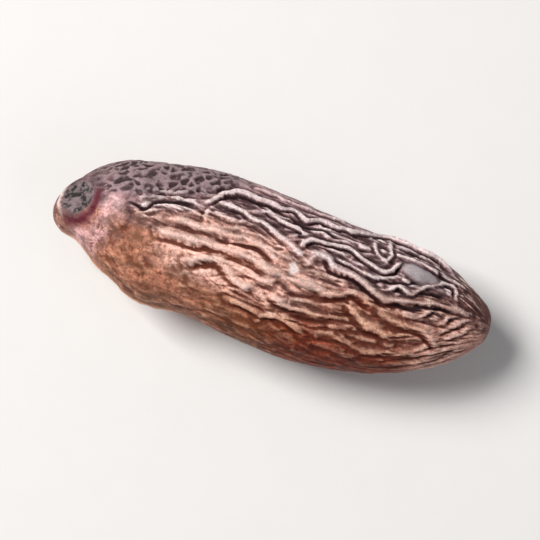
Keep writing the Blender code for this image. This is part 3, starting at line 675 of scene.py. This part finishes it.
def coat_marks(at, height, forms):
    """Numbers from 0 to 1 that say where each colour of the coat lies.

    The marks nap, lift and swell say how far a point stands over its near, middle and wide
    neighbourhood, and the coat's painted shade and highlights follow them. They are 0.5 where it
    stands level and may pass 0 and 1.
    """
    share, across = at.share, at.points[..., 1] / MM
    wander = 0.7 * at.noise(2.8, 2.0, 9)
    # Painted sky reflection: a grey mauve cast from its lower edge over the back's upper side.
    edge = np.interp(share, SKY_REFLECTION_EDGE[:, 0], SKY_REFLECTION_EDGE[:, 1])
    sky_reflection = smooth_step(-0.4, 1.0, across + wander - edge)
    sky_reflection = sky_reflection * smooth_step(0.03, 0.09, share) * (1 - smooth_step(0.88, 0.95, share))
    flank = smooth_step(-0.6, 0.8, 0.3 - across + wander) * smooth_step(0.05, 0.12, share)
    flank = flank * (1 - smooth_step(0.42, 0.62, share + 0.04 * at.noise(3, 3, 10)))
    olive = smooth_step(-1.2, 1.2, -3.3 - across + wander) * smooth_step(0.34, 0.46, share)
    olive = olive * (1 - smooth_step(0.55, 0.72, share + 0.05 * at.noise(3, 3, 19)))
    rust = smooth_step(0.40, 0.64, share + 0.06 * at.noise(3.2, 1.8, 38))
    rust = rust * smooth_step(3.4, 4.8, -across + 0.6 * wander)
    rust = rust * (0.85 + 0.15 * at.noise(1.6, 1.2, 39))
    russet = smooth_step(0.50, 0.62, share) * smooth_step(0.2, 1.5, -across + wander)
    tip = smooth_step(0.87, 0.94, share + 0.015 * at.noise(3, 2, 11))
    tip = tip * smooth_step(-1.2, 0.8, across)
    tip_net = smooth_step(0.80, 0.90, share) * smooth_step(0.2, 1.0, -across + wander)
    # A small painted glint on the upper face, with a ragged outline.
    glint = distance_from(at.points, GLINT_PLACE, GLINT_SIZE) + 0.35 * at.noise(0.5, 0.5, 34)
    beside_scar = smooth_step(2.9, 1.9, across + 0.3 * wander) * smooth_step(0.04, 0.08, share)
    blush = np.exp(-(((at.scar - 2.3 + 0.25 * at.noise(1.4, 1.2, 32)) / 0.68) ** 2)) * beside_scar
    back_blush = smooth_step(0.34, 0.40, share) * smooth_step(0.66, 0.54, share)
    back_blush = back_blush * smooth_step(44, 26, at.degrees + 6 * wander)
    above_scar = 0.9 * smooth_step(2.3, 1.5, at.scar) * smooth_step(0.3, 1.5, across)
    above_scar = np.maximum(above_scar, 0.7 * smooth_step(1.4, 1.15, at.scar))
    crescent = np.exp(-(((at.scar - 1.36 + 0.08 * at.noise(0.9, 0.8, 33)) / 0.28) ** 2))
    crescent = crescent * smooth_step(2.4, 1.6, across) * smooth_step(0.025, 0.05, share)
    rim = smooth_step(0.95, 1.1, at.scar) * (1 - smooth_step(1.2, 1.42, at.scar))
    rim = rim * smooth_step(0.032, 0.014, share + 0.008 * at.noise(1.2, 1.0, 30))
    middle = at.middle * smooth_step(0.21, 0.29, share)
    middle = middle * (1 - 0.4 * smooth_step(0.49, 0.57, share))
    return {
        "nap": 0.5 + (height - blurred(height, 3)) / (0.05 * MM),
        "lift": 0.5 + (height - blurred(height, 14)) / (0.14 * MM) * smooth_step(1.1, 1.6, at.scar),
        "swell": 0.5 + (height - blurred(height, 110)) / (0.32 * MM),
        "sky_reflection": sky_reflection, "flank": flank, "olive": olive, "rust": rust, "russet": russet,
        "tip": tip, "crescent": crescent, "rim": rim, "folded": at.folded,
        "blush": np.maximum(blush, 0.22 * back_blush),
        "middle": np.maximum(middle, 0.6 * tip_net),
        "glint": 1 - smooth_step(0.4, 1.1, glint),
        "scar": 1 - smooth_step(0.86, 1.04, at.scar),
        "shoulder": np.maximum(forms["shoulder"], above_scar),
        "island": forms["island"] * smooth_step(0.5, 0.6, share),
        **{name: forms[name] for name in ("pit_shade", "web", "lead", "cut", "keel")},
    }


def skin(settings, rows, columns):
    """Points of the skin, rows by columns without the two tips, and the coat's marks there.

    The plain body is (length, r cos(turn), r sin(turn)) with the section's radius r, and the
    skin stands over it by the relief along its normal. Rows lie at even steps over the skin.
    Columns lie at the turn p + k (cos(p) - 1) for even p, which crowds them on the upper
    side by the share k.
    """
    fine = (1 - np.cos(np.linspace(0, np.pi, 4000))) / 2
    over_skin = skin_distance(fine)
    share = np.interp(np.linspace(0, over_skin[-1], rows + 1)[1:-1], over_skin, fine)[:, None]
    even = np.arange(columns) / columns * 2 * np.pi
    turn = ((even + TOP_CROWDING * (np.cos(even) - 1)) % (2 * np.pi))[None, :]
    share, turn = np.broadcast_arrays(share, turn)
    radius = section_radius(share, turn)
    plain = np.stack(((share - 0.5) * LENGTH, radius * np.cos(turn), radius * np.sin(turn)), -1)
    along_x = np.gradient(plain, axis=0)
    around_x = np.roll(plain, -1, 1) - np.roll(plain, 1, 1)
    normal = np.cross(around_x, along_x)
    normal /= np.linalg.norm(normal, axis=-1, keepdims=True)
    at = Place(share, turn, plain)
    height, forms = relief(settings, at)
    marks = coat_marks(at, height, forms)
    marks = {name: evened_at_tips(at, values) for name, values in marks.items()}
    return plain + normal * height[..., None], marks


def closed_mesh(name, grid, marks):
    """A mesh of quads between the rows, closed by a fan of triangles at each tip."""
    rows, columns, _ = grid.shape
    tips = [grid[end].mean(0) for end in (0, -1)]
    points = np.concatenate((grid.reshape(-1, 3), tips))
    index = np.arange(rows * columns).reshape(rows, columns)
    following = np.roll(index, -1, 1)
    quads = np.stack((index[:-1], following[:-1], following[1:], index[1:]), -1).reshape(-1, 4)
    first = np.stack((np.full(columns, rows * columns), following[0], index[0]), -1)
    last = np.stack((np.full(columns, rows * columns + 1), index[-1], following[-1]), -1)
    mesh = bpy.data.meshes.new(name)
    mesh.from_pydata(points.tolist(), [], quads.tolist() + first.tolist() + last.tolist())
    mesh.update()
    for mark, values in marks.items():
        ends = [values[end].mean() for end in (0, -1)]
        layer = mesh.attributes.new(mark, "FLOAT", "POINT")
        layer.data.foreach_set("value", np.concatenate((values.ravel(), ends)).astype(np.float32))
    mesh.shade_smooth()
    return mesh


class Tree:
    """A short way to add nodes to a material and join them."""

    def __init__(self, material):
        self.tree = material.node_tree
        self.shader = self.tree.nodes["Principled BSDF"]

    def link(self, source, target):
        """Join an output, or set a plain value."""
        if isinstance(source, bpy.types.NodeSocket):
            self.tree.links.new(source, target)
        else:
            target.default_value = source

    def mark(self, name):
        """An attribute of the skin as a number."""
        node = self.tree.nodes.new("ShaderNodeAttribute")
        node.attribute_name = name
        return node.outputs["Fac"]

    def math(self, operation, first, *others):
        """The same operation with one number or output after another, not clamped."""
        for value in others:
            node = self.tree.nodes.new("ShaderNodeMath")
            node.operation = operation
            self.link(first, node.inputs[0])
            self.link(value, node.inputs[1])
            first = node.outputs[0]
        return first

    def times(self, *values):
        """The product of numbers or outputs."""
        return self.math("MULTIPLY", *values)

    def most(self, *values):
        """The greatest of numbers or outputs."""
        return self.math("MAXIMUM", *values)

    def spread(self, value, low, high, to_low=0.0, to_high=1.0):
        """Map a range of one number on a range of another, clamped."""
        node = self.tree.nodes.new("ShaderNodeMapRange")
        for socket, number in zip(node.inputs, (value, low, high, to_low, to_high)):
            self.link(number, socket)
        return node.outputs[0]

    def where(self, mark, low, high, to_low=0.0, to_high=1.0):
        """The spread of a mark of the skin."""
        return self.spread(self.mark(mark), low, high, to_low, to_high)

    def mix(self, share, first, second):
        """Two colours mixed by a share."""
        node = self.tree.nodes.new("ShaderNodeMix")
        node.data_type = "RGBA"
        self.link(share, node.inputs["Factor"])
        for colour, socket in ((first, node.inputs[6]), (second, node.inputs[7])):
            plain = not isinstance(colour, bpy.types.NodeSocket)
            self.link((*colour, 1.0) if plain else colour, socket)
        return node.outputs[2]

    def scaled(self, colour, factor):
        """A colour made lighter or darker by a factor."""
        node = self.tree.nodes.new("ShaderNodeVectorMath")
        node.operation = "SCALE"
        self.link(colour, node.inputs["Vector"])
        self.link(factor, node.inputs["Scale"])
        return node.outputs["Vector"]

    def clouds(self, size, detail=4.0, roughness=0.6, stretch=(1, 1, 1), distortion=0.0):
        """Noise with features of this size in metres, stretched along the axes."""
        place = self.tree.nodes.new("ShaderNodeTexCoord")
        turn = self.tree.nodes.new("ShaderNodeMapping")
        turn.inputs["Scale"].default_value = [1 / size / s for s in stretch]
        node = self.tree.nodes.new("ShaderNodeTexNoise")
        node.inputs["Scale"].default_value = 1.0
        node.inputs["Detail"].default_value = detail
        node.inputs["Roughness"].default_value = roughness
        node.inputs["Distortion"].default_value = distortion
        self.link(place.outputs["Object"], turn.inputs["Vector"])
        self.link(turn.outputs["Vector"], node.inputs["Vector"])
        return node.outputs["Fac"]


def ground_colours(t, coat, mottle, speckle):
    """Patches of the ground colour, the coat's zones over them, mottling of both, and painted shade
    and highlight on the fine relief.
    """
    patches = t.spread(t.clouds(2.4 * MM, stretch=(2, 1, 1)), 0.38, 0.62)
    colour = t.mix(patches, coat.ground_dark, coat.ground)
    zones = (
        ("sky_reflection", coat.sky_reflection, 0.85),
        ("flank", coat.flank, 0.9),
        ("olive", coat.olive, 0.85),
        ("russet", coat.russet, 0.85),
        ("rust", coat.rust, 1.0),
        ("tip", coat.tip, 0.9),
        ("blush", coat.blush, 0.95),
        ("middle", coat.middle, 0.9),
        ("shoulder", coat.shoulder, 0.95),
    )
    for name, tint, full in zones:
        ragged = t.times(t.mark(name), t.spread(mottle, 0.25, 0.6, 0.6 * full, full))
        colour = t.mix(ragged, colour, tint)
    # Random speckle times painted shade and highlight: darker where the skin lies below its near
    # neighbours, lighter where it stands over them.
    shade = t.times(
        t.spread(speckle, 0.3, 0.7, 0.62, 1.28), t.where("nap", 0.0, 1.0, 0.6, 1.4))
    blotch = t.clouds(0.95 * MM, detail=3, roughness=0.55, stretch=(1.4, 1, 1))
    return t.scaled(colour, t.times(shade, t.spread(blotch, 0.36, 0.62, 0.50, 1.25)))


def flank_stains(t, coat, colour):
    """Wide dull stains and small freckles on the smooth part of the flank."""
    flank = t.where("flank", 0.2, 0.9)
    stains = t.spread(t.clouds(1.1 * MM, detail=5, roughness=0.7, distortion=0.9), 0.46, 0.62)
    stains = t.times(stains, t.where("folded", 0.1, 0.7, 0.75, 0.0), flank)
    colour = t.mix(stains, colour, coat.stain)
    freckles = t.clouds(0.42 * MM, detail=3, roughness=0.6, distortion=0.6)
    freckles = t.times(
        t.spread(freckles, 0.54, 0.66, 0.0, 0.75),
        t.where("folded", 0.1, 0.8, 1.0, 0.3), flank)
    # The freckles take the colour that the low dips' painted shade uses.
    return t.mix(freckles, colour, coat.low_dip_shade_and_freckles)


def painted_shade_in_dips_and_slits(t, coat, colour, low):
    """Painted shade in the dips between the folds, wide ones and narrow ones, and painted shadow in
    the slits at their feet.
    """
    dip_shade_colour = t.mix(low, coat.dip_shade, coat.low_dip_shade_and_freckles)
    # Painted shade in wide hollows, then in narrow ones, by how far the skin lies below its
    # neighbours.
    broad = t.times(
        t.where("swell", 0.42, 0.0), 0.75, t.where("folded", 0.0, 1.0, 0.75, 1.0))
    colour = t.mix(broad, colour, dip_shade_colour)
    dips = t.times(
        t.where("lift", 0.40, 0.05), t.where("folded", 0.0, 0.8, 0.4, 0.9),
        t.where("middle", 0.0, 0.8, 1.0, 0.5))
    colour = t.mix(dips, colour, dip_shade_colour)
    # Painted shadow in the slits and the leading grooves.
    slits = t.most(t.where("lift", 0.05, -0.35), t.where("cut", 0.3, 0.8))
    slits = t.times(slits, t.where("middle", 0.0, 0.8, 0.95, 0.7))
    return t.mix(slits, colour, t.mix(low, coat.slit_shadow, coat.low_slit_shadow))


def crest_wear_and_highlights(t, coat, colour, low, speckle):
    """Pale crests, partly wear and partly painted highlights, which fade in and out along the folds
    and are dull by the scar.
    """
    # Crests under the painted sky reflection take the grey crest colour.
    crest_colour = t.mix(t.mark("sky_reflection"), coat.crest_pink, coat.crest_grey)
    tan = t.math("SUBTRACT", low, t.mark("middle"))
    crest_colour = t.mix(t.spread(tan, 0.0, 1.0), crest_colour, coat.crest_tan)
    # Wear and painted highlight on the crests: where a point stands over its neighbours, and on the
    # leading folds.
    crest = t.most(t.where("lift", 0.52, 1.05), t.where("lead", 0.3, 0.75))
    # Less of it on the lower side, the pitted shoulder and the blush.
    dull = t.times(
        t.where("rust", 0.0, 1.0, 1.0, 0.35), t.where("shoulder", 0.0, 1.0, 1.0, 0.3),
        t.where("blush", 0.0, 0.4, 1.0, 0.5))
    fading = t.spread(t.clouds(1.3 * MM, detail=3, distortion=0.4), 0.38, 0.56, 0.5, 1.0)
    # Under the painted sky reflection the pale crests fade less.
    fading = t.math("MINIMUM", t.math("ADD", fading, t.times(t.mark("sky_reflection"), 0.35)), 1.0)
    wear_and_highlight = t.times(crest, dull, t.spread(speckle, 0.32, 0.6, 0.45, 1.0), fading)
    return t.mix(wear_and_highlight, colour, crest_colour)


def pits_and_spots(t, coat, colour, mottle, speckle):
    """Painted shade in the pits and the pale webs of the shoulder, the islands, the keel, the
    painted glint and the scar.
    """
    # Painted shade in the pits, darker with their depth and with a little noise.
    ragged = t.spread(t.clouds(0.32 * MM), 0.35, 0.65, -0.6, 0.45)
    ragged = t.math("ADD", t.mark("pit_shade"), t.times(ragged, t.mark("shoulder")))
    dark = t.times(t.spread(ragged, 0.1, 1.2, 0.0, 1.0), t.spread(speckle, 0.35, 0.6, 0.55, 1.0))
    colour = t.mix(dark, colour, coat.pit_shade)
    scar_colour = t.mix(t.spread(t.clouds(0.6 * MM), 0.42, 0.56), coat.scar, coat.scar_pale)
    layers = (
        (t.times(t.mark("web"), t.spread(mottle, 0.35, 0.65, 0.3, 0.85)), coat.shoulder_web),
        (t.times(t.mark("island"), 0.85), coat.island),
        (t.times(t.mark("keel"), 0.55), coat.crest_tan),
        # The painted glint, in the pale colour.
        (t.mark("glint"), coat.pale),
        (t.mark("crescent"), coat.crescent),
        (t.mark("scar"), scar_colour),
        (t.times(t.mark("rim"), 0.7), coat.pale),
    )
    for share, tint in layers:
        colour = t.mix(share, colour, tint)
    return colour


def coat_material(coat):
    """The seed coat: zones of colour, painted shade in the hollows, pale crests of wear and painted
    highlight, a painted sky reflection on the back and a dull oily sheen.
    """
    material = bpy.data.materials.new("bean_coat")
    material.use_nodes = True
    t = Tree(material)
    mottle = t.clouds(0.5 * MM, detail=6, roughness=0.7)
    speckle = t.clouds(0.2 * MM, detail=4, roughness=0.65)
    low = t.most(
        t.mark("flank"), t.mark("olive"), t.mark("rust"),
        t.times(t.mark("middle"), 0.6), t.times(t.mark("russet"), 0.8))
    colour = ground_colours(t, coat, mottle, speckle)
    colour = flank_stains(t, coat, colour)
    colour = painted_shade_in_dips_and_slits(t, coat, colour, low)
    colour = crest_wear_and_highlights(t, coat, colour, low, speckle)
    colour = pits_and_spots(t, coat, colour, mottle, speckle)
    grain = t.spread(t.clouds(0.13 * MM, detail=3), 0.34, 0.66, 0.80, 1.16)
    t.link(t.scaled(colour, grain), t.shader.inputs["Base Color"])

    gloss = t.where("lift", 0.1, 1.0, coat.roughness + 0.2, coat.roughness - 0.08)
    t.link(gloss, t.shader.inputs["Roughness"])
    t.shader.inputs["Specular IOR Level"].default_value = 0.15

    bump = t.tree.nodes.new("ShaderNodeBump")
    bump.inputs["Distance"].default_value = 0.10 * MM
    bump.inputs["Strength"].default_value = 0.9
    t.link(t.clouds(0.30 * MM, detail=5, roughness=0.68), bump.inputs["Height"])
    t.link(bump.outputs["Normal"], t.shader.inputs["Normal"])
    return material


def floor_material(stage):
    """Plain matt card."""
    material = bpy.data.materials.new("floor_card")
    material.use_nodes = True
    t = Tree(material)
    grain = t.clouds(3 * MM, detail=3)
    paler = [min(1.0, 1.03 * part) for part in stage.floor]
    t.link(t.mix(grain, stage.floor, paler), t.shader.inputs["Base Color"])
    t.shader.inputs["Roughness"].default_value = 0.9
    t.shader.inputs["Specular IOR Level"].default_value = 0.2
    return material


def view_axes(elevation):
    """Right, up and back of the camera, for a bean whose axis falls to the right."""
    right = Vector((math.cos(AXIS_FALL), math.sin(AXIS_FALL), 0))
    level_up = Vector((-math.sin(AXIS_FALL), math.cos(AXIS_FALL), 0))
    back = Vector((0, 0, math.sin(elevation))) - level_up * math.cos(elevation)
    return right, back.cross(right), back


def soft_light(name, energy, kind, axes, target):
    """A square soft light that looks at the target, placed along the view's axes from it."""
    size, (right, up, back), colour = kind
    place = target + right * axes[0] + up * axes[1] + back * axes[2]
    light = bpy.data.lights.new(name, "AREA")
    light.energy = energy
    light.size = size
    light.color = colour
    lamp = bpy.data.objects.new(name, light)
    lamp.location = place
    lamp.rotation_euler = (target - place).to_track_quat("-Z", "Y").to_euler()
    bpy.context.collection.objects.link(lamp)


class OBJECT_OT_tonka_bean_skin(bpy.types.Operator):
    """Make the bean's fine skin and its coat"""

    bl_idname = "object.tonka_bean_skin"
    bl_label = "Bean Skin"

    def execute(self, context):
        """Work out the skin, rest it on the floor and give it the coat."""
        settings = context.scene.tonka_bean
        grid, marks = skin(settings, ROWS, COLUMNS)
        low, high = grid.reshape(-1, 3).min(0), grid.reshape(-1, 3).max(0)
        middle = (low + high) / 2
        grid = grid - np.array((middle[0], middle[1], low[2] + REST_DEPTH))
        grid[..., 2] = np.maximum(grid[..., 2], 0)
        bean = bpy.data.objects.new("bean_skin", closed_mesh("bean_skin", grid, marks))
        context.collection.objects.link(bean)
        bean.data.materials.append(coat_material(context.scene.tonka_coat))
        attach(bean, "root")
        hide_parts(NODE)
        return {"FINISHED"}


class SCENE_OT_tonka_bean_stage(bpy.types.Operator):
    """Make the floor, the lights and the camera"""

    bl_idname = "scene.tonka_bean_stage"
    bl_label = "Studio Stage"

    def execute(self, context):
        """Lay the floor, hang the lights and look down on the bean."""
        stage = context.scene.tonka_stage
        half = FLOOR_HALF
        mesh = bpy.data.meshes.new("floor")
        corners = [(-half, -half, 0), (half, -half, 0), (half, half, 0), (-half, half, 0)]
        mesh.from_pydata(corners, [], [(0, 1, 2, 3)])
        floor = bpy.data.objects.new("floor", mesh)
        mesh.materials.append(floor_material(stage))
        context.collection.objects.link(floor)

        low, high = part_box(NODE)
        target = Vector((0, 0, (low[2] + high[2]) / 2))
        right, up, back = axes = view_axes(stage.elevation)
        soft_light("key", stage.key, KEY_LIGHT, axes, target)
        soft_light("fill", stage.fill, FILL_LIGHT, axes, target)

        world = bpy.data.worlds.new("sky")
        world.use_nodes = True
        background = world.node_tree.nodes["Background"]
        background.inputs["Color"].default_value = SKY_COLOUR
        background.inputs["Strength"].default_value = stage.sky
        context.scene.world = world
        context.scene.view_settings.view_transform = "Standard"

        camera = bpy.data.cameras.new("camera")
        camera.lens = stage.lens
        camera.clip_start = CLIP_START
        distance = stage.width * stage.lens / camera.sensor_width
        holder = bpy.data.objects.new("camera", camera)
        turn = Matrix((right, up, back)).transposed().to_4x4()
        holder.matrix_world = Matrix.Translation(target + back * distance) @ turn
        context.collection.objects.link(holder)
        context.scene.camera = holder
        return {"FINISHED"}


class VIEW3D_PT_tonka_bean(bpy.types.Panel):
    """Settings and operators of the bean"""

    bl_label = "Tonka Bean"
    bl_idname = "VIEW3D_PT_tonka_bean"
    bl_space_type = "VIEW_3D"
    bl_region_type = "UI"
    bl_category = "Tonka Bean"

    def draw(self, context):
        """List each group of settings over the operator that reads it."""
        layout = self.layout
        groups = (
            (context.scene.tonka_bean, None),
            (context.scene.tonka_coat, OBJECT_OT_tonka_bean_skin),
            (context.scene.tonka_stage, SCENE_OT_tonka_bean_stage),
        )
        for group, operator in groups:
            for name in group.__annotations__:
                layout.prop(group, name)
            if operator:
                layout.operator(operator.bl_idname)


CLASSES = (
    BeanSettings,
    CoatSettings,
    StageSettings,
    OBJECT_OT_tonka_bean_skin,
    SCENE_OT_tonka_bean_stage,
    VIEW3D_PT_tonka_bean,
)


def register():
    """Add the classes and the settings to Blender."""
    for cls in CLASSES:
        bpy.utils.register_class(cls)
    bpy.types.Scene.tonka_bean = bpy.props.PointerProperty(type=BeanSettings)
    bpy.types.Scene.tonka_coat = bpy.props.PointerProperty(type=CoatSettings)
    bpy.types.Scene.tonka_stage = bpy.props.PointerProperty(type=StageSettings)


def unregister():
    """Take the settings and the classes out again."""
    del bpy.types.Scene.tonka_stage
    del bpy.types.Scene.tonka_coat
    del bpy.types.Scene.tonka_bean
    for cls in reversed(CLASSES):
        bpy.utils.unregister_class(cls)


def main():
    """Make the stage and the bean."""
    register()
    bpy.ops.scene.tonka_bean_stage()
    bpy.ops.object.tonka_bean_skin()


if __name__ == "__main__":
    main()
